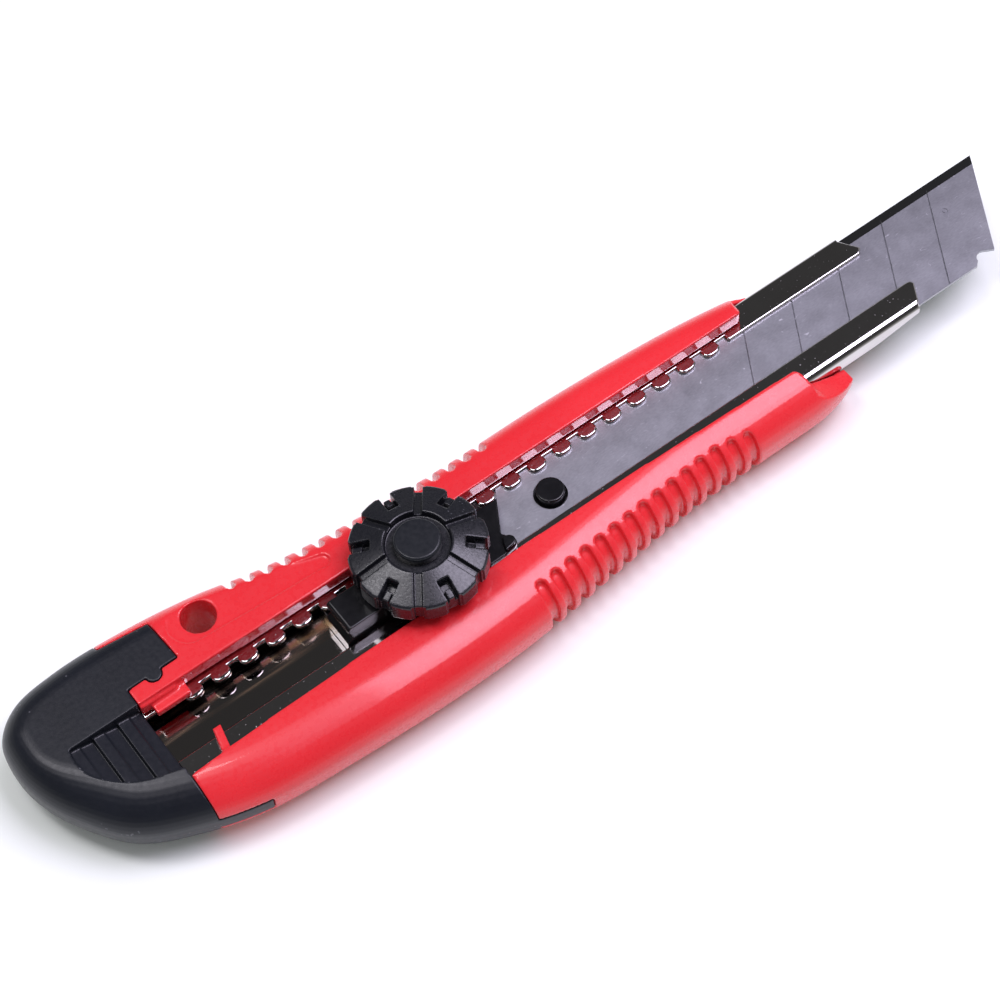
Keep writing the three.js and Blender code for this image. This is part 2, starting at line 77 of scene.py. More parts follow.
FACE_Z = BODY_HIGH[2]
BLADE_Z = (BLADE_LOW[2] + BLADE_HIGH[2]) / 2
CHANNEL_TOP = CHANNEL_HIGH[2]
CHANNEL_BOTTOM = CHANNEL_LOW[2]
SHEET = 0.6
# the blade's ground bevel, and the slant of its segments, which the parts that touch it share
BEVEL_WIDTH = 1.7
SLANT = math.tan(math.radians(30))
# the blade's carrying hole, and the carrier's peg in it
HOLE_X, HOLE_Y = 24.4, -0.4
BODY_REAR = CHANNEL_LOW[0] + 0.3
SEAM = 0.15


# ---------- meshes ----------
def new_piece(name, vertices, faces):
    """An object made of vertices in millimetres and faces."""
    mesh = bpy.data.meshes.new(name)
    mesh.from_pydata([Vector(v) * MM for v in vertices], [], faces)
    mesh.update()
    piece = bpy.data.objects.new(name, mesh)
    bpy.context.scene.collection.objects.link(piece)
    return piece


def prism(outline, z0, z1, name="tool"):
    """A solid with a plan outline, from height z0 to z1."""
    n = len(outline)
    area = sum(
        outline[i][0] * outline[(i + 1) % n][1] - outline[(i + 1) % n][0] * outline[i][1] for i in range(n))
    if area < 0:
        outline = outline[::-1]
    vertices = [(x, y, z) for z in (z0, z1) for x, y in outline]
    sides = [(i, (i + 1) % n, n + (i + 1) % n, n + i) for i in range(n)]
    return new_piece(name, vertices, [tuple(range(n))[::-1], tuple(range(n, 2 * n))] + sides)


def cross_prism(profile, y0, y1, name="tool"):
    """A solid with an outline in x-z, from y0 to y1."""
    piece = prism(profile, y0, y1, name)
    for v in piece.data.vertices:
        x, z, y = v.co
        v.co = (x, y, z)
    piece.data.flip_normals()
    return piece


def along_x(section, x0, x1, name):
    """A solid with an outline in y-z, from x0 to x1."""
    piece = prism(section, x0, x1, name)
    for v in piece.data.vertices:
        y, z, x = v.co
        v.co = (x, y, z)
    return piece


def box(x0, x1, y0, y1, z0, z1, name="tool"):
    return prism([(x0, y0), (x1, y0), (x1, y1), (x0, y1)], z0, z1, name)


def arc(x, y, radius, start, end, steps):
    """Points round a centre, between two angles in degrees."""
    angles = [math.radians(start + (end - start) * i / steps) for i in range(steps + 1)]
    return [(x + radius * math.cos(a), y + radius * math.sin(a)) for a in angles]


def bezier(a, b, c, d, steps):
    """Points along a cubic curve from a to d, drawn towards b and c."""
    points = []
    for i in range(steps + 1):
        t = i / steps
        weights = ((1 - t) ** 3, 3 * t * (1 - t) ** 2, 3 * t * t * (1 - t), t ** 3)
        points.append(tuple(sum(w * p[k] for w, p in zip(weights, (a, b, c, d))) for k in (0, 1)))
    return points


def disc(x, y, z0, z1, radius, name="tool", sides=64):
    return prism(arc(x, y, radius, 0, 360, sides)[:-1], z0, z1, name)


def lathe(profile, name="tool", sides=96, x=0.0, y=0.0):
    """Turns a profile of (radius, height) pairs, which starts and ends on the axis."""
    rings = [p for p in profile if p[0] > 0]
    vertices = [(x + r * math.cos(2 * math.pi * i / sides), y + r * math.sin(2 * math.pi * i / sides), z)
                for r, z in rings for i in range(sides)]
    faces = []
    for k in range(len(rings) - 1):
        for i in range(sides):
            j = (i + 1) % sides
            faces.append((k * sides + i, k * sides + j, (k + 1) * sides + j, (k + 1) * sides + i))
    faces.append(tuple(range(sides))[::-1])
    faces.append(tuple(range((len(rings) - 1) * sides, len(rings) * sides)))
    return new_piece(name, vertices, faces)


def bake(piece):
    """Applies a piece's modifiers to its mesh."""
    bpy.context.view_layer.update()
    evaluated = piece.evaluated_get(bpy.context.evaluated_depsgraph_get())
    mesh = bpy.data.meshes.new_from_object(evaluated)
    piece.modifiers.clear()
    old = piece.data
    piece.data = mesh
    bpy.data.meshes.remove(old)
    return piece


def combine(piece, others, operation):
    """Joins other solids to a piece with a boolean, and uses them up."""
    for other in others:
        modifier = piece.modifiers.new("join", "BOOLEAN")
        modifier.operation = operation
        modifier.solver = "MANIFOLD"
        modifier.object = other
        bake(piece)
        bpy.data.objects.remove(other)
    return piece


def cut(piece, *tools):
    return combine(piece, tools, "DIFFERENCE")


def unite(piece, *others):
    return combine(piece, others, "UNION")


def common(piece, *others):
    return combine(piece, others, "INTERSECT")


def smooth_shaded(piece):
    piece.data.polygons.foreach_set("use_smooth", [True] * len(piece.data.polygons))
    return piece


def mould(piece, voxel, rounds):
    """Gives a solid the softened edges of a moulding."""
    remesh = piece.modifiers.new("remesh", "REMESH")
    remesh.mode = "VOXEL"
    remesh.voxel_size = voxel * MM
    remesh.use_smooth_shade = True
    smooth = piece.modifiers.new("smooth", "SMOOTH")
    smooth.iterations = rounds
    smooth.factor = 0.5
    return smooth_shaded(bake(piece))


def chamfered(piece, width, angle):
    """Breaks a solid's edges that are sharper than an angle."""
    bevel = piece.modifiers.new("bevel", "BEVEL")
    bevel.width = width * MM
    bevel.segments = 1
    bevel.limit_method = "ANGLE"
    bevel.angle_limit = math.radians(angle)
    return bake(piece)


def pressed(piece, width, segments, low):
    """Rounds a folded sheet's punched edges above a height, and shades it smooth round its folds."""
    mesh = bmesh.new()
    mesh.from_mesh(piece.data)
    weight = mesh.edges.layers.float.new("bevel_weight_edge")
    for edge in mesh.edges:
        above = min(v.co.z for v in edge.verts) > low * MM
        if above and edge.calc_face_angle(0) > math.radians(40):
            edge[weight] = 1
    mesh.to_mesh(piece.data)
    mesh.free()
    bevel = piece.modifiers.new("bevel", "BEVEL")
    bevel.width = width * MM
    bevel.segments = segments
    bevel.limit_method = "WEIGHT"
    bevel.use_clamp_overlap = False
    smooth_shaded(bake(piece))
    piece.data.set_sharp_from_angle(angle=math.radians(20))
    piece.modifiers.new("normals", "WEIGHTED_NORMAL").keep_sharp = True
    return bake(piece)


def finished(piece, body, node, material):
    """Gives a piece its material, and puts it on its body in place of its CAD node."""
    piece.data.materials.clear()
    piece.data.materials.append(material)
    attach(piece, body)
    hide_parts(node)
    return piece


# ---------- handle form ----------
HANDLE_PLAN = [
    (85, -2), (83, 5), (77.5, 9), (70, 10.8), (60, 12.3), (47, 13.4), (31, 14.1), (12, 14.2), (-7, 15.3),
    (-20, 16.9), (-30, 19.2), (-42, 20.8), (-54, 21.2), (-62.4, 19.8), (-66.8, 16), (-67.8, 10.5), (-67, 5),
    (-64.7, -0.5), (-58.9, -8.5), (-50, -13.2), (-40, -16.2), (-25, -17.6), (-5, -18.4), (10, -17.9),
    (25, -16.3), (42, -14.6), (60, -14.4), (70, -14.2), (76, -12.5), (82, -8.5),
]


def smooth_loop(points, steps):
    """A closed centripetal Catmull-Rom curve through the points, with steps points per span."""
    loop = []
    n = len(points)
    for i in range(n):
        p = [np.array(points[(i + k) % n], float) for k in (-1, 0, 1, 2)]
        t = [0.0]
        for a, b in zip(p, p[1:]):
            t.append(t[-1] + math.sqrt(np.linalg.norm(b - a)))
        for s in range(steps):
            u = t[1] + (t[2] - t[1]) * s / steps
            a1, a2, a3 = (
                ((t[k + 1] - u) * p[k] + (u - t[k]) * p[k + 1]) / (t[k + 1] - t[k]) for k in range(3))
            b1 = ((t[2] - u) * a1 + (u - t[0]) * a2) / (t[2] - t[0])
            b2 = ((t[3] - u) * a2 + (u - t[1]) * a3) / (t[3] - t[1])
            loop.append(((t[2] - u) * b1 + (u - t[1]) * b2) / (t[2] - t[1]))
    return np.array(loop)


PLAN = smooth_loop(HANDLE_PLAN, 14)
# how far the back's and the face's rounding reach in and up, and how much further on the -Y side,
# which the palm wraps
BACK_ROUND, FACE_ROUND, ROLL_REACH, ROLL_DROP = 6.3, 4.8, 3.4, 0.5


def loop_normals(loop):
    """Inward normals of a closed loop that runs anticlockwise."""
    along = np.roll(loop, -1, 0) - np.roll(loop, 1, 0)
    along /= np.linalg.norm(along, axis=1)[:, None]
    return np.stack([-along[:, 1], along[:, 0]], 1)


def handle_form(name):
    """The handle's outer form: rounded sides, broad along the -Y roll, between flat face and flat back."""
    inward = loop_normals(PLAN)
    roll = np.clip((9 - PLAN[:, 1]) / 16, 0, 1)
    roll = roll * roll * (3 - 2 * roll)
    face_reach = FACE_ROUND + ROLL_REACH * roll
    face_drop = FACE_ROUND + ROLL_DROP * roll
    everywhere = np.ones(len(PLAN))
    quarter = [math.pi / 2 * k / 12 for k in range(13)]
    rings = [(BACK_ROUND * everywhere * (1 - math.sin(a)), BACK_ROUND * (1 - math.cos(a)) * everywhere)
             for a in quarter]
    rings += [(face_reach * (1 - math.cos(a)), FACE_Z - face_drop * (1 - math.sin(a))) for a in quarter]
    vertices = []
    for reach, height in rings:
        plan = PLAN + inward * reach[:, None]
        vertices += [(x, y, z) for (x, y), z in zip(plan, height)]
    n = len(PLAN)
    faces = [(r * n + i, r * n + (i + 1) % n, (r + 1) * n + (i + 1) % n, (r + 1) * n + i)
             for r in range(len(rings) - 1) for i in range(n)]
    faces.append(tuple(range(n))[::-1])
    faces.append(tuple(range((len(rings) - 1) * n, len(rings) * n)))
    return new_piece(name, vertices, faces)


# ---------- materials ----------
def shader(name):
    """A new material, its node tree, its main shader, and the place on the piece that its textures follow."""
    material = bpy.data.materials.new(name)
    material.use_nodes = True
    tree = material.node_tree
    principled = tree.nodes["Principled BSDF"]
    place = tree.nodes.new("ShaderNodeTexCoord")
    return material, tree, principled, place.outputs["Object"]


def noise(tree, vector, scale, detail=4, stretch=None):
    """Noise with a number of features per metre, closer together along an axis by its stretch."""
    if stretch:
        mapping = tree.nodes.new("ShaderNodeMapping")
        mapping.inputs["Scale"].default_value = stretch
        tree.links.new(vector, mapping.inputs["Vector"])
        vector = mapping.outputs["Vector"]
    node = tree.nodes.new("ShaderNodeTexNoise")
    node.inputs["Scale"].default_value = scale
    node.inputs["Detail"].default_value = detail
    tree.links.new(vector, node.inputs["Vector"])
    return node.outputs["Fac"]


def ramp(tree, value, stops):
    """Turns a value into colours, given as (value, colour) stops."""
    node = tree.nodes.new("ShaderNodeValToRGB")
    elements = node.color_ramp.elements
    while len(elements) < len(stops):
        elements.new(0.5)
    for element, (position, color) in zip(elements, stops):
        element.position = position
        element.color = (*color, 1)
    tree.links.new(value, node.inputs["Fac"])
    return node.outputs["Color"]


def grey(v):
    return (v, v, v)


def axis_of(tree, place, axis):
    """How far along an axis a place is, in metres."""
    split = tree.nodes.new("ShaderNodeSeparateXYZ")
    tree.links.new(place, split.inputs[0])
    return split.outputs[axis]


def step(tree, value, low, high):
    """0 at low and 1 at high, which may be the lower of the two."""
    node = tree.nodes.new("ShaderNodeMapRange")
    tree.links.new(value, node.inputs["Value"])
    node.inputs["From Min"].default_value = low
    node.inputs["From Max"].default_value = high
    return node.outputs["Result"]


def calculated(tree, operation, *values):
    """A sum on values, each of which is a number or a socket."""
    node = tree.nodes.new("ShaderNodeMath")
    node.operation = operation
    for socket, value in zip(node.inputs, values):
        if isinstance(value, float):
            socket.default_value = value
        else:
            tree.links.new(value, socket)
    return node.outputs[0]


def blended(tree, factor, a, b):
    """Colour a where factor is 0 and b where it is 1; each is a colour or a socket."""
    node = tree.nodes.new("ShaderNodeMix")
    node.data_type = "RGBA"
    tree.links.new(factor, node.inputs["Factor"])
    for name, value in (("A", a), ("B", b)):
        if isinstance(value, tuple):
            node.inputs[name].default_value = (*value, 1)
        else:
            tree.links.new(value, node.inputs[name])
    return node.outputs["Result"]


def bump(tree, principled, height, strength, distance):
    """Lets a height, with a distance in millimetres, tilt the surface's shading."""
    node = tree.nodes.new("ShaderNodeBump")
    node.inputs["Strength"].default_value = strength
    node.inputs["Distance"].default_value = distance * MM
    tree.links.new(height, node.inputs["Height"])
    tree.links.new(node.outputs["Normal"], principled.inputs["Normal"])


def red_plastic():
    """Glossy moulded red: faint flow marks, a fine ripple and a fine speckle in the gloss."""
    material, tree, p, place = shader("body_red")
    tone = ramp(tree, noise(tree, place, 45), [(0.3, (0.71, 0.020, 0.028)), (0.7, (0.77, 0.027, 0.036))])
    tree.links.new(tone, p.inputs["Base Color"])
    rough = ramp(tree, noise(tree, place, 1100, 6), [(0.3, grey(0.24)), (0.75, grey(0.34))])
    tree.links.new(rough, p.inputs["Roughness"])
    p.inputs["Subsurface Weight"].default_value = 0.08
    p.inputs["Subsurface Radius"].default_value = (1.0, 0.1, 0.1)
    p.inputs["Subsurface Scale"].default_value = 0.8 * MM
    p.inputs["Specular IOR Level"].default_value = 0.4
    p.inputs["Coat Weight"].default_value = 0.45
    p.inputs["Coat Roughness"].default_value = 0.07
    bump(tree, p, noise(tree, place, 500, 2), 0.04, 0.04)
    return material


def dark_plastic(name, color, rough_low, rough_high, grain=1400, depth=0.12, gloss=0.4):
    """Moulded black with a fine grain, painted paler along its sharp edges: a painted edge highlight, which
    also stands for rubbed wear.
    """
    material, tree, p, place = shader(name)
    tone = ramp(tree, noise(tree, place, 90), [(0.3, color), (0.75, tuple(c * 1.35 for c in color))])
    geometry = tree.nodes.new("ShaderNodeNewGeometry")
    # paler along the sharp edges, broken up by noise: a painted highlight on the edges, also standing for
    # rubbed wear
    edge_highlight_and_wear = calculated(tree, "MULTIPLY", step(tree, geometry.outputs["Pointiness"], 0.565, 0.62),
                      step(tree, noise(tree, place, 400, 3), 0.3, 0.6))
    highlight_and_wear_pale = (0.10, 0.10, 0.115)
    tree.links.new(blended(tree, edge_highlight_and_wear, tone, highlight_and_wear_pale), p.inputs["Base Color"])
    rough = ramp(tree, noise(tree, place, grain, 5), [(0.3, grey(rough_low)), (0.7, grey(rough_high))])
    tree.links.new(rough, p.inputs["Roughness"])
    bump(tree, p, noise(tree, place, grain, 2), depth, 0.06)
    p.inputs["Specular IOR Level"].default_value = gloss
    return material


def channel_steel():
    """Bright plated sheet with dust specks on the lips; down inside between the walls it is painted darker as
    shade, with rougher brown streaks along the toothed side.
    """
    material, tree, p, place = shader("channel_steel")
    p.inputs["Metallic"].default_value = 1
    bright = ramp(tree, noise(tree, place, 120), [(0.3, (0.60, 0.57, 0.57)), (0.7, (0.68, 0.65, 0.65))])
    z, y = axis_of(tree, place, "Z"), axis_of(tree, place, "Y")
    streak = step(tree, noise(tree, place, 420, 4, (0.06, 1, 1)), 0.47, 0.57)
    toothed_side = step(tree, y, 0, 2 * MM)
    brown_streak = calculated(tree, "MULTIPLY", streak, toothed_side)
    # down inside between the walls the sheet is painted darker as shade, and brown along the streaks
    painted_shade_inside = blended(tree, brown_streak, (0.50, 0.46, 0.45), (0.40, 0.26, 0.14))
    deep = step(tree, z, (CHANNEL_TOP - 0.65) * MM, (CHANNEL_TOP - 0.9) * MM)
    half = CHANNEL_HIGH[1]
    between_walls = step(tree, calculated(tree, "ABSOLUTE", y), (half - 0.3) * MM, (half - 0.5) * MM)
    inside = calculated(tree, "MULTIPLY", deep, between_walls)
    tree.links.new(blended(tree, inside, bright, painted_shade_inside), p.inputs["Base Color"])
    specks = ramp(tree, noise(tree, place, 2300, 2), [(0.68, grey(0.09)), (0.76, grey(0.4))])
    streak_roughness = blended(tree, brown_streak, grey(0.06), grey(0.26))
    tree.links.new(blended(tree, inside, specks, streak_roughness), p.inputs["Roughness"])
    bump(tree, p, noise(tree, place, 90, 2, (0.4, 2, 2)), 0.006, 0.05)
    return material


def scratches(tree, place, scale, turn, width):
    """One set of hairline scratches at an angle in degrees: the places where a noise crosses its middle."""
    mapping = tree.nodes.new("ShaderNodeMapping")
    mapping.inputs["Rotation"].default_value = (0, 0, math.radians(turn))
    mapping.inputs["Scale"].default_value = (0.25, 1, 1)
    tree.links.new(place, mapping.inputs["Vector"])
    field = noise(tree, mapping.outputs["Vector"], scale, 1)
    line = calculated(tree, "COMPARE", field, 0.5, width)
    gate = step(tree, noise(tree, place, scale * 1.7, 2), 0.6, 0.68)
    return calculated(tree, "MULTIPLY", line, gate)


def blade_steel():
    """Satin ground steel with stray hairline scratches, and a polished bevel that mirrors the dark above."""
    material, tree, p, place = shader("blade_steel")
    p.inputs["Metallic"].default_value = 1
    satin = ramp(tree, noise(tree, place, 1500, 6, (1, 3, 1)),
                 [(0.3, (0.33, 0.335, 0.36)), (0.7, (0.41, 0.415, 0.44))])
    light = blended(tree, scratches(tree, place, 420, 25, 0.004), satin, (0.66, 0.66, 0.7))
    light = blended(tree, scratches(tree, place, 520, -55, 0.004), light, (0.64, 0.64, 0.68))
    boundary = BLADE_HIGH[1] - BEVEL_WIDTH
    edge = step(tree, axis_of(tree, place, "Y"), (boundary - 0.03) * MM, (boundary + 0.03) * MM)
    tree.links.new(blended(tree, edge, light, (0.34, 0.34, 0.37)), p.inputs["Base Color"])
    rough = ramp(tree, noise(tree, place, 300, 4), [(0.3, grey(0.36)), (0.75, grey(0.43))])
    tree.links.new(blended(tree, edge, rough, grey(0.14)), p.inputs["Roughness"])
    bump(tree, p, noise(tree, place, 1800, 3, (1, 4, 1)), 0.03, 0.02)
    return material


def fastener_steel():
    """Zinc-plated steel, dull and slightly blotchy."""
    material, tree, p, place = shader("fastener_steel")
    p.inputs["Metallic"].default_value = 1
    tone = ramp(tree, noise(tree, place, 300), [(0.3, grey(0.42)), (0.7, grey(0.55))])
    tree.links.new(tone, p.inputs["Base Color"])
    rough = ramp(tree, noise(tree, place, 900, 5), [(0.3, grey(0.24)), (0.75, grey(0.4))])
    tree.links.new(rough, p.inputs["Roughness"])
    bump(tree, p, noise(tree, place, 800, 3), 0.05, 0.03)
    return material


RED = red_plastic()
CAP = dark_plastic("cap_black", (0.0075, 0.009, 0.013), 0.30, 0.38)
SLIDER = dark_plastic("slider_black", (0.006, 0.006, 0.007), 0.16, 0.26, 700, 0.05)
WHEEL = dark_plastic("wheel_black", (0.0075, 0.008, 0.011), 0.24, 0.36, 2600, 0.25, 0.62)
DISC = dark_plastic("disc_black", (0.0075, 0.009, 0.012), 0.28, 0.36, 1500, 0.08)
CHANNEL = channel_steel()
BLADE = blade_steel()
ZINC = fastener_steel()

# the washer and the nut are plain enough to be shown as they are
for node in ("thrust_washer", "wheel_nut"):
    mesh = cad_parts[node].data
    mesh.materials.clear()
    mesh.materials.append(ZINC)


# ---------- handle body ----------
# the opening in the face, up its toothed side and back along its roll side
OPENING_PLAN = [
    (85, 6.1), (56, 6.1), (36, 6.25), (14, 6.35), (-16, 6.4), (-36, 6.7), (-60, 6.9),
    (-60, -8.2), (-36, -7.3), (-16, -7.0), (14, -6.8), (32, -6.9), (48, -7.25), (64, -7.7), (85, -8.3),
]
TAB_PLAN = [(BODY_REAR - 1, 19), (-38.9, 17.8), (-38.4, 10), (BODY_REAR - 1, 9.8)]
TAB_DEPTH = 2
KNOB_X, KNOB_Y, KNOB_RADIUS = -42.8, 9.8, 1.3
TONGUE_FRONT, TONGUE_INNER, TONGUE_LOW, TONGUE_HIGH = -39.2, -13.4, 5, 7.7
ROLL_FRONT = 68.5
LANYARD_X, LANYARD_Y, LANYARD_RADIUS = -32, 14, 2.85
GROOVE_PITCH, ROLL_GROOVE_COUNT, SIDE_GROOVE_COUNT = 3, 15, 16
ROLL_GROOVE_X, SIDE_GROOVE_X = 12.6, -25
SPIGOT_LOW, SPIGOT_HIGH = (BODY_REAR - 9, -7, 2.4), (BODY_REAR + 1, 13, 5.2)


def offset_form(name, depth):
    """The handle's form shrunk by a depth all round."""
    form = handle_form(name)
    centre = np.array([0, 0, FACE_Z / 2])
    co = np.array([v.co for v in form.data.vertices]) / MM
    normals = np.array([v.normal for v in form.data.vertices])
    outward = np.sign(np.einsum("ij,ij->i", normals, co - centre))[:, None]
    co = co - normals * outward * depth
    form.data.vertices.foreach_set("co", (co * MM).ravel())
    return form


def plan_edge(x, side):
    """The handle's plan outline at a place along it, on one side."""
    near = PLAN[np.sign(PLAN[:, 1]) == side]
    return near[np.argmin(abs(near[:, 0] - x))][1]


def groove(x, start, side, width):
    """A groove's plan: round at its inner end, open past the handle's side."""
    r = width / 2
    end = arc(x, start, r, 0, -side * 180, 12)
    return [(x - r, side * 40), (x + r, side * 40)] + end


def grip_grooves():
    """Two rows of grooves: on the roll they reach up over its crown, on the other side they only notch it."""
    grooves = []
    for i in range(ROLL_GROOVE_COUNT):
        x = ROLL_GROOVE_X + i * GROOVE_PITCH
        # the row leans in towards the opening, and the last few grooves are shorter
        top = -13.9 + 0.07 * (x - ROLL_GROOVE_X) - 0.2 * max(0, x - 48)
        grooves.append(prism(groove(x, top, -1, 1.75), -5, FACE_Z + 5))
    for i in range(SIDE_GROOVE_COUNT):
        x = SIDE_GROOVE_X + i * GROOVE_PITCH
        grooves.append(prism(groove(x, plan_edge(x, 1) - 2.4, 1, 1.5), -5, FACE_Z + 5))
    tool = unite(grooves[0], *grooves[1:])
    return cut(tool, offset_form("core", 1.1))


def cap_region(gap):
    """Where the end cap is, or with a gap the room that the body leaves for it."""
    tab = [(x + gap, y + (gap if y > 15 else -gap)) for x, y in TAB_PLAN]
    low = FACE_Z - TAB_DEPTH - gap
    rear = box(-90, BODY_REAR - SEAM + gap, -40, 40, -10, 30)
    tongue = box(BODY_REAR - 5, TONGUE_FRONT + gap, -40, TONGUE_INNER + gap,
                 TONGUE_LOW - gap, TONGUE_HIGH + gap)
    return unite(rear, prism(tab, low, 30), disc(KNOB_X, KNOB_Y, low, 30, KNOB_RADIUS + gap), tongue)


def spigot(gap):
    """The body's tail spigot, or with a gap the cap's socket for it."""
    spans = [(low - gap, high + gap) for low, high in zip(SPIGOT_LOW, SPIGOT_HIGH)]
    return box(*spans[0], *spans[1], *spans[2])


def corner(x, y, radius, side):
    """What rounds off a roll's front corner in plan."""
    square = box(x - radius, x + 1, min(y, y + side * radius), max(y, y + side * radius), 0, 20)
    return cut(square, disc(x - radius, y + side * radius, -1, 21, radius))


def front_relief():
    """The face drops round the front of both rolls, and scoops down to a thin flange."""
    nose = arc(ROLL_FRONT - 1.6, FACE_Z - 1.6, 1.6, 90, 0, 8)
    scoop = [(ROLL_FRONT, 10.4), (69.6, 9.5), (71, 8.8), (72.5, 8.1), (74, 7.5), (76, 7.15), (90, 7)]
    return cross_prism([(ROLL_FRONT - 1.6, 20)] + nose + scoop + [(90, 20)], -40, 40)


def leaf_recess():
    """A shallow leaf-shaped recess in the face, from the lanyard hole to a rounded tip."""
    tip = arc(-11.6, 10.1, 1.3, 60, -120, 10)
    tail = arc(LANYARD_X - 1.5, LANYARD_Y, 3.9, 250, 75, 16)
    return prism(tip + [(-20, 9.3)] + tail + [(-22, 15.0)], FACE_Z - 0.35, FACE_Z + 5)


def handle_body():
    """The red moulding, with the channel's pocket, grips, and small clips that reach over the channel."""
    body = handle_form("handle_shell")
    side = CHANNEL_HIGH[1] + 0.15
    cut(body,
        box(BODY_HIGH[0], 120, -40, 40, -10, 30),
        box(-90, 90, -side, side, CHANNEL_BOTTOM - 0.15, CHANNEL_TOP + 0.12),
        prism(OPENING_PLAN, CHANNEL_TOP, 30),
        front_relief(),
        corner(ROLL_FRONT, -7.8, 2.0, -1),
        corner(ROLL_FRONT, 6.1, 1.4, 1),
        leaf_recess(),
        disc(LANYARD_X, LANYARD_Y, -1, 30, LANYARD_RADIUS),
        grip_grooves(),
        cap_region(SEAM))
    lip = CHANNEL_TOP + 0.05
    clip = prism([(-42, -9), (-40.5, -9), (-39.3, -3.3), (-40.7, -3.3)], lip, lip + 2.45)
    ridge = cross_prism([(BODY_REAR, lip), (-39.9, lip), (-41.2, 12.0), (BODY_REAR, 12.3)], 6.2, 8.6)
    ledge = box(-45.6, -39.6, 4.5, 6.8, lip, lip + 1.3)
    unite(body, clip, ridge, ledge, spigot(0))
    mould(body, 0.22, 2)
    return finished(body, "handle", "handle_body", RED)


# ---------- end cap ----------
TREAD_COUNT, TREAD_PITCH, TREAD_DROP = 3, 4.3, 0.3


def thumb_recess():
    """A D in plan, floored by treads that slope forwards, with a riser between each."""
    front = BODY_REAR + 1
    low = (bezier((-59.6, 6.8), (-61.0, 2.0), (-57.5, -1.6), (-54.6, -3.4), 12)
           + bezier((-54.6, -3.4), (-52.0, -5.0), (-49.5, -5.6), (front, -6.3), 12)[1:])
    plan = low + [(front, 6.8)]
    steps = [(-60.5, FACE_Z + 3)]
    for i in range(TREAD_COUNT):
        x, z = -60 + i * TREAD_PITCH, FACE_Z - 0.8 - i * TREAD_DROP
        steps += [(x, z), (x + 1.9, z - 0.35), (x + 2.0, z - 0.55), (x + TREAD_PITCH - 0.05, z - 1.2)]
    steps += [(front, FACE_Z - 2.8), (front, FACE_Z + 3)]
    return common(prism(plan, FACE_Z - 6, FACE_Z + 5), cross_prism(steps, -20, 20))


def end_cap():
    """The black tail: the form's rear end with its recess, hollow for the spigot and the channel."""
    cap = common(handle_form("end_cap_shell"), cap_region(0))
    side = CHANNEL_HIGH[1] + 0.3
    cut(cap,
        thumb_recess(),
        spigot(0.3),
        box(CHANNEL_LOW[0] - 0.2, 0, -side, side, CHANNEL_BOTTOM - 0.2, CHANNEL_TOP + 0.1))
    mould(cap, 0.14, 3)
    return finished(cap, "cap", "end_cap", CAP)


# ---------- channel ----------
# the toothed lip: how near its tips and its notches come to the middle, and how far it rises to its tips
TOOTH_REACH, TOOTH_PITCH, TOOTH_COUNT, FIRST_TOOTH_X = 3.9, 5, 21, -39.1
NOTCH_WIDTH, NOTCH_ROOT, TIP_ROUND, LIP_RISE = 1.6, 5.6, 1.3, 0.45
# the plain lip, which reaches further in behind the wheel
LIP_REACH, REAR_REACH, REAR_LIP_FRONT = 4.5, 3.3, -9
UPPER_FRONT, LOWER_FRONT, FLOOR_FRONT = 92, 95.6, 79


def sheet_section():
    """The folded sheet seen from the front: a flat floor, two walls and two lips, with rounded folds."""
    half = CHANNEL_HIGH[1]
    low, high = CHANNEL_BOTTOM, CHANNEL_TOP
    # each fold's y, z, radius and first angle, from the plain lip round to the toothed lip
    folds = [(-half, high, 1.6, 90), (-half, low, 1.0, 180), (half, low, 1.0, 270),
             (half, high - LIP_RISE, 0.8, 0)]
    outer, inner = [], []
    for y, z, r, start in folds:
        centre = (y - math.copysign(r, y), z + (r if z == low else -r))
        outer += arc(*centre, r, start, start + 90, 8)
        inner += arc(*centre, r - SHEET, start, start + 90, 8)
    return ([(-REAR_REACH, high)] + outer + [(TOOTH_REACH, high), (TOOTH_REACH, high - SHEET)] + inner[::-1]
            + [(-REAR_REACH, high - SHEET)])


def tooth_cut():
    """What is punched out of the toothed lip: the outline of its round tabs, closed off over the opening."""
    half = (TOOTH_PITCH - NOTCH_WIDTH) / 2
    outline = [(CHANNEL_LOW[0] - 1, 0), (CHANNEL_LOW[0] - 1, NOTCH_ROOT)]
    for k in range(TOOTH_COUNT):
        x = FIRST_TOOTH_X + k * TOOTH_PITCH
        outline.append((x - half, NOTCH_ROOT))
        for i in range(13):
            a = math.pi * (1 + i / 12)
            outline.append((x + half * math.copysign(abs(math.cos(a)) ** 0.7, math.cos(a)),
                            TOOTH_REACH + TIP_ROUND * (1 + math.sin(a))))
        outline.append((x + half, NOTCH_ROOT))
    start = FIRST_TOOTH_X + TOOTH_COUNT * TOOTH_PITCH - half
    outline += [(start, NOTCH_ROOT), (start, LIP_REACH + 0.4), (start + 0.4, LIP_REACH), (200, LIP_REACH),
                (200, 0)]
    return prism(outline, CHANNEL_TOP - 1.2, CHANNEL_TOP + 1)


def floor_taper(front, y0, y1):
    """What is cut off under the nose, from the floor's front end up to a lip's."""
    under = CHANNEL_TOP - 1.5
    return cross_prism([(FLOOR_FRONT, 0), (FLOOR_FRONT, CHANNEL_BOTTOM + 0.1), (front, under), (130, under),
                        (130, 0)], y0, y1)


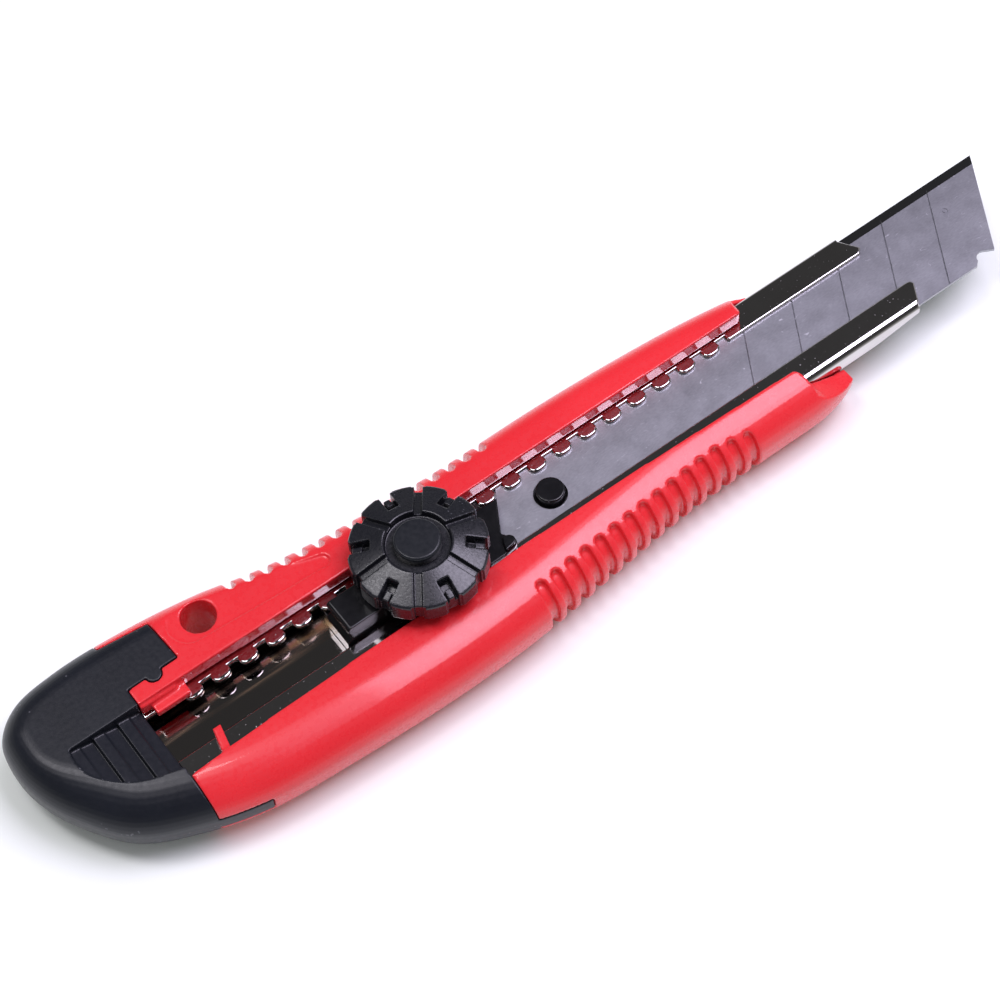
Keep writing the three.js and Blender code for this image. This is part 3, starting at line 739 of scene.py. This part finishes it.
def blade_channel():
    """The folded steel sheet that the blade runs in, with its two lips cut to a nose in front."""
    half = CHANNEL_HIGH[1]
    sheet = along_x(sheet_section(), CHANNEL_LOW[0], 110, "channel_sheet")
    upper_wall = UPPER_FRONT - 1.4
    lower_wall = LOWER_FRONT - (half - LIP_REACH) * SLANT
    upper_nose = prism([(upper_wall, half + 1), (upper_wall, half), (UPPER_FRONT + 1, LIP_REACH + 1.1),
                        (UPPER_FRONT, LIP_REACH), (UPPER_FRONT, 0), (130, 0), (130, half + 1)], 0, 30)
    lower_nose = prism([(lower_wall, -half - 1), (lower_wall, -half), (LOWER_FRONT - 0.5, -LIP_REACH - 0.9),
                        (LOWER_FRONT - 0.8, -LIP_REACH - 0.2), (LOWER_FRONT - 1.5, -LIP_REACH),
                        (LOWER_FRONT - 1.5, 0), (130, 0), (130, -half - 1)], 0, 30)
    plain_lip_trim = prism([(REAR_LIP_FRONT, -REAR_REACH + 1), (REAR_LIP_FRONT + 1, -LIP_REACH),
                            (130, -LIP_REACH), (130, -REAR_REACH + 1)], CHANNEL_TOP - 1.2, CHANNEL_TOP + 1)
    cut(sheet, tooth_cut(), plain_lip_trim, upper_nose, lower_nose,
        floor_taper(upper_wall, 0, 20), floor_taper(lower_wall, -20, 0.001))
    pressed(sheet, 0.42, 5, CHANNEL_TOP - 0.5)
    return finished(sheet, "handle", "blade_channel", CHANNEL)


# ---------- blade ----------
SEGMENT, SCORE_COUNT, SCORE_DEPTH, SCORE_HALF_WIDTH = 10, 5, 0.1, 0.11
DIMPLE_FROM_TIP, DIMPLE_Y, DIMPLE_DEPTH = 11.1, 2.7, 0.12


def score_line(tip, half, high):
    """A V groove across the blade, slanted like its tip."""
    side = SCORE_HALF_WIDTH
    score = cross_prism([(tip - side, high + 0.001), (tip, high - SCORE_DEPTH), (tip + side, high + 0.001),
                         (tip + side, high + 1), (tip - side, high + 1)], -half - 1, half + 1)
    for v in score.data.vertices:
        v.co.x -= (half * MM - v.co.y) * SLANT
    return score


def snap_blade():
    """The blade: two ground slopes to the edge, slanted score lines, a hook notch, a hole and a dimple."""
    half, tip = BLADE_HIGH[1], BLADE_HIGH[0]
    low, high = BLADE_LOW[2], BLADE_HIGH[2]
    lean = 2 * half * SLANT
    spine = tip - lean
    hook = arc(spine - 1.9, -half + 0.55, 1.35, 175, 60, 10)
    plan = [(tip, half), (BLADE_LOW[0] + lean, half), (BLADE_LOW[0], -half), (spine - 4.0, -half),
            (spine - 3.5, -half + 0.55)] + hook + [(spine + 0.45, -half + 0.8)]
    blade = prism(plan, low, high, "blade_sheet")
    fall, inner = (high - low) / 2 - 0.02, half - BEVEL_WIDTH
    for face, away in ((high, 1), (low, -1)):
        slope = [(inner, face), (half + 1, face - away * fall * (1 + 1 / BEVEL_WIDTH)),
                 (half + 1, face + away * 3), (inner, face + away * 3)]
        cut(blade, along_x(slope, -60, 140, "slope"))
    for k in range(1, SCORE_COUNT + 1):
        cut(blade, score_line(tip - SEGMENT * k, half, high))
    dimple_x = tip - DIMPLE_FROM_TIP
    dimple = cut(disc(dimple_x, DIMPLE_Y, high - DIMPLE_DEPTH, high + 1, 0.52, sides=24),
                 disc(dimple_x, DIMPLE_Y, high - 1, high + 2, 0.34, sides=24))
    cut(blade, disc(HOLE_X, HOLE_Y, 0, 20, 2.75), dimple)
    chamfered(blade, 0.025, 30)
    return finished(blade, "carrier", "snap_blade", BLADE)


# ---------- slider ----------
def blade_slider():
    """The carrier: a base under the blade with a peg, a block behind, and a bar with a hook over the lips."""
    low, rear = SLIDER_LOW[2], SLIDER_LOW[0] + 0.6
    half = -SLIDER_LOW[1]
    under_blade = BLADE_LOW[2] - 0.1
    under_lips = CHANNEL_TOP - SHEET - 0.1
    back = BLADE_LOW[0] - 0.3
    base = box(rear, SLIDER_HIGH[0], -half, half, low, under_blade, "slider_moulding")
    filler = prism([(rear + 3, -half), (back, -half), (back + 2 * half * SLANT, half), (rear + 3, half)],
                   low, under_lips)
    top = SLIDER_HIGH[2]
    ramp = [(rear - 0.5, low), (9.6, low), (9.6, top), (rear + 0.5, top), (rear + 0.1, top - 0.2),
            (rear - 0.1, top - 0.9), (rear + 0.35, top - 2.0), (rear + 0.5, 10.8), (rear - 0.5, 10.2)]
    block = cross_prism(ramp, -3, 3)
    bar_low = CHANNEL_TOP + 0.1
    bar = prism([(9, -5.6), (12.2, -5.6)] + arc(13.6, -4.2, 1.2, -80, 60, 8)
                + [(13.5, -2.2), (16.6, 3.4), (9, 3.4)], bar_low, bar_low + 0.9)
    hook = prism([(12.2, -5.4)] + arc(13.6, -4.2, 1.0, -80, 60, 8) + [(13.2, -3.0), (12.6, -4.2)],
                 bar_low, bar_low + 1.6)
    neck = prism([(9, -3.1), (12.4, -3.1), (16.2, 3.4), (9, 3.4)], under_lips - 0.2, bar_low + 0.1)
    peg_top = BLADE_Z + 1.75
    peg = lathe([(0, low), (2.3, low), (2.3, peg_top - 0.12), (2.18, peg_top), (0, peg_top)],
                x=HOLE_X, y=HOLE_Y)
    unite(base, filler, block, neck, bar, hook, peg)
    # room for the clamp bolt's head and its stem
    window = 5.9
    cut(base,
        box(-window, window, -15, 15, 0, 9.2),
        box(-window, window, 3, 15, 0, 20),
        box(-window, window, -15, -3, 0, 20),
        disc(0, 0, 0, 30, 2.8))
    mould(base, 0.13, 1)
    return finished(base, "carrier", "blade_slider", SLIDER)


# ---------- clamp bolt ----------
HEAD_THICKNESS, STEM_RADIUS = 1.3, 2.4


def clamp_bolt():
    """A flat head, thinned along both sides to bear under the sloping lip and the round fold, and a stem."""
    low, top, half = BOLT_LOW[2], BOLT_LOW[2] + HEAD_THICKNESS, BOLT_HIGH[1]
    thin = top - 0.3
    section = [(-half, low), (half, low), (half, thin), (half - 2.8, top), (0.6 - half, top), (-half, thin)]
    bolt = along_x(section, BOLT_LOW[0], BOLT_HIGH[0], "bolt")
    unite(bolt, disc(0, 0, top - 0.5, BOLT_HIGH[2], STEM_RADIUS, sides=48))
    chamfered(bolt, 0.05, 40)
    return finished(bolt, "bolt", "clamp_bolt", ZINC)


# ---------- wheel ----------
RIM_Z, PETAL_INNER, RING_DEPTH = 18.6, 5.2, 1.3
WHEEL_RADIUS = WHEEL_HIGH[0]
PETAL_COUNT, FIRST_GROOVE_ANGLE = 6, -5.6
# widths of the groove between two petals, of the notch in each petal, and of the block in the notch
PETAL_GROOVE, PETAL_NOTCH, NOTCH_BLOCK = 1.3, 1.9, 1.05


def spoke(x0, x1, width, z0, z1, angle):
    """A bar that points outwards from the wheel's axis at an angle."""
    bar = box(x0, x1, -width / 2, width / 2, z0, z1)
    bar.data.transform(Matrix.Rotation(angle, 4, "Z"))
    return bar


def petal_height(radius):
    """The petals slope down to the rim as a shallow cone."""
    slope = (WHEEL_HIGH[2] - RIM_Z) / (WHEEL_RADIUS - 0.4 - PETAL_INNER)
    return WHEEL_HIGH[2] - (radius - PETAL_INNER) * slope


def above_petals(depth):
    """All that is higher than a depth under the petals' slope."""
    far = WHEEL_RADIUS + 3
    return lathe([(0, petal_height(0.1) - depth), (0.1, petal_height(0.1) - depth),
                  (far, petal_height(far) - depth), (far, 40), (0, 40)])


def lock_wheel():
    """Petals with a groove between each two and a stepped notch in each, round a sunk ring."""
    top, low, radius = WHEEL_HIGH[2], WHEEL_LOW[2], WHEEL_RADIUS
    floor = top - RING_DEPTH
    wheel = lathe([
        (0, low), (radius - 0.4, low), (radius, low + 0.4), (radius, RIM_Z - 0.45),
        (radius - 0.12, RIM_Z - 0.15), (radius - 0.4, RIM_Z),
        (PETAL_INNER + 0.3, petal_height(PETAL_INNER + 0.3)), (PETAL_INNER, top - 0.2),
        (PETAL_INNER - 0.1, floor), (0, floor)], "wheel_moulding", 160)
    out = radius + 1
    grooves, notches, rim_cuts, blocks = [], [], [], []
    petal = 360 / PETAL_COUNT
    for i in range(PETAL_COUNT):
        groove_at = math.radians(FIRST_GROOVE_ANGLE + petal * i)
        notch_at = groove_at + math.radians(petal / 2)
        grooves.append(spoke(PETAL_INNER - 0.5, out, PETAL_GROOVE, low, 40, groove_at))
        notches.append(spoke(7.3, out, PETAL_NOTCH, low, 40, notch_at))
        blocks.append(spoke(8.6, radius - 0.8, NOTCH_BLOCK, low + 0.4, 40, notch_at))
        for angle, width in ((groove_at, PETAL_GROOVE), (notch_at, PETAL_NOTCH)):
            rim_cuts.append(spoke(radius - 0.85, out, width, 10, 40, angle))
            rim_cuts.append(spoke(radius - 0.35, out, width + 0.9, 10, 40, angle))
    cut(wheel,
        common(unite(*grooves), above_petals(0.95)),
        common(unite(*notches), above_petals(2.0)),
        *rim_cuts,
        disc(0, 0, 14, 17.1, 4.75),
        disc(0, 0, 14, 17.45, 2.65))
    unite(wheel, cut(unite(*blocks), above_petals(0.95)))
    mould(wheel, 0.11, 2)
    return finished(wheel, "wheel", "lock_wheel", WHEEL)


def wheel_cap():
    """The disc pressed into the wheel's middle: a flat button with a rounded rim, on a short stalk."""
    radius, top, low = DISC_HIGH[0], DISC_HIGH[2], WHEEL_HIGH[2] - RING_DEPTH + 0.1
    rim = arc(radius - 0.45, top - 0.45, 0.45, 0, 90, 8)
    button = lathe([(0, DISC_LOW[2]), (2.2, DISC_LOW[2]), (2.2, low), (radius, low)] + rim
                   + [(radius - 1.0, top - 0.03), (0, top - 0.1)], "wheel_button", 96)
    smooth_shaded(button)
    button.modifiers.new("normals", "WEIGHTED_NORMAL")
    bake(button)
    return finished(button, "wheel", "wheel_cap", DISC)


handle_body()
end_cap()
blade_channel()
snap_blade()
blade_slider()
clamp_bolt()
lock_wheel()
wheel_cap()


# ---------- stage ----------
LIGHT_HEIGHT = 0.70


def area_light(name, x, y, width, depth, power, color):
    """A soft light that hangs over a place and faces straight down."""
    data = bpy.data.lights.new(name, "AREA")
    data.shape = "RECTANGLE"
    data.size = width
    data.size_y = depth
    data.energy = power
    data.color = color
    light = bpy.data.objects.new(name, data)
    bpy.context.scene.collection.objects.link(light)
    light.location = (x, y, LIGHT_HEIGHT)
    light.rotation_euler = Vector((0, 0, -1)).to_track_quat("-Z", "Y").to_euler()
    return light


def stage():
    """A wide white floor under two soft lights."""
    floor = new_piece("floor", [(-2000, -2000, -0.05), (2000, -2000, -0.05), (2000, 2000, -0.05),
                                (-2000, 2000, -0.05)], [(0, 1, 2, 3)])
    material, tree, p, place = shader("floor_white")
    tone = ramp(tree, noise(tree, place, 4), [(0.3, (0.88, 0.92, 0.87)), (0.7, (0.91, 0.95, 0.90))])
    tree.links.new(tone, p.inputs["Base Color"])
    p.inputs["Roughness"].default_value = 0.7
    floor.data.materials.append(material)
    studio_world()
    area_light("overhead", 0.35, -0.10, 0.5, 0.44, 5.0, (0.93, 0.86, 1.08))
    strip = area_light("strip", -0.17, 0.20, 0.40, 0.16, 2.0, (0.97, 0.94, 1.0))
    strip.rotation_euler.z = math.radians(-55)


def studio_world():
    """White all round for soft fill, but dark overhead in reflections, as a studio's ceiling is."""
    world = bpy.data.worlds.new("studio")
    world.use_nodes = True
    tree = world.node_tree
    background = tree.nodes["Background"]
    direction = tree.nodes.new("ShaderNodeTexCoord").outputs["Generated"]
    mirrored = [(0.0, grey(0.78)), (0.12, grey(0.5)), (0.42, grey(0.06)), (1.0, grey(0.04))]
    seen = ramp(tree, axis_of(tree, direction, "Z"), mirrored)
    glossy_ray = tree.nodes.new("ShaderNodeLightPath").outputs["Is Glossy Ray"]
    tree.links.new(blended(tree, glossy_ray, (0.40, 0.40, 0.42), seen), background.inputs["Color"])
    background.inputs["Strength"].default_value = 1
    bpy.context.scene.world = world


def camera():
    """The camera stands off the front-left of the handle, high up, and leans a little to one side."""
    low, high = (Vector(v) for v in cad_bounds)
    target = (low + high) / 2 + Vector((-8.51, 2.36, -1.45)) * MM
    azimuth, elevation, roll = (math.radians(a) for a in (-31.51, 58.99, -5.84))
    distance = 411.45 * MM
    right = Vector((math.cos(azimuth), math.sin(azimuth), 0))
    back = Vector((math.sin(azimuth) * math.cos(elevation), -math.cos(azimuth) * math.cos(elevation),
                   math.sin(elevation)))
    up = back.cross(right)
    across = right * math.cos(roll) + up * math.sin(roll)
    upward = -right * math.sin(roll) + up * math.cos(roll)
    data = bpy.data.cameras.new("camera")
    data.sensor_width = 36
    data.lens = 94.34
    data.clip_start = 0.01
    data.clip_end = 10
    eye = bpy.data.objects.new("camera", data)
    bpy.context.scene.collection.objects.link(eye)
    place = Matrix((across, upward, back)).transposed().to_4x4()
    place.translation = target + back * distance
    eye.matrix_world = place
    bpy.context.scene.camera = eye


stage()
camera()
bpy.context.scene.view_settings.view_transform = "Standard"
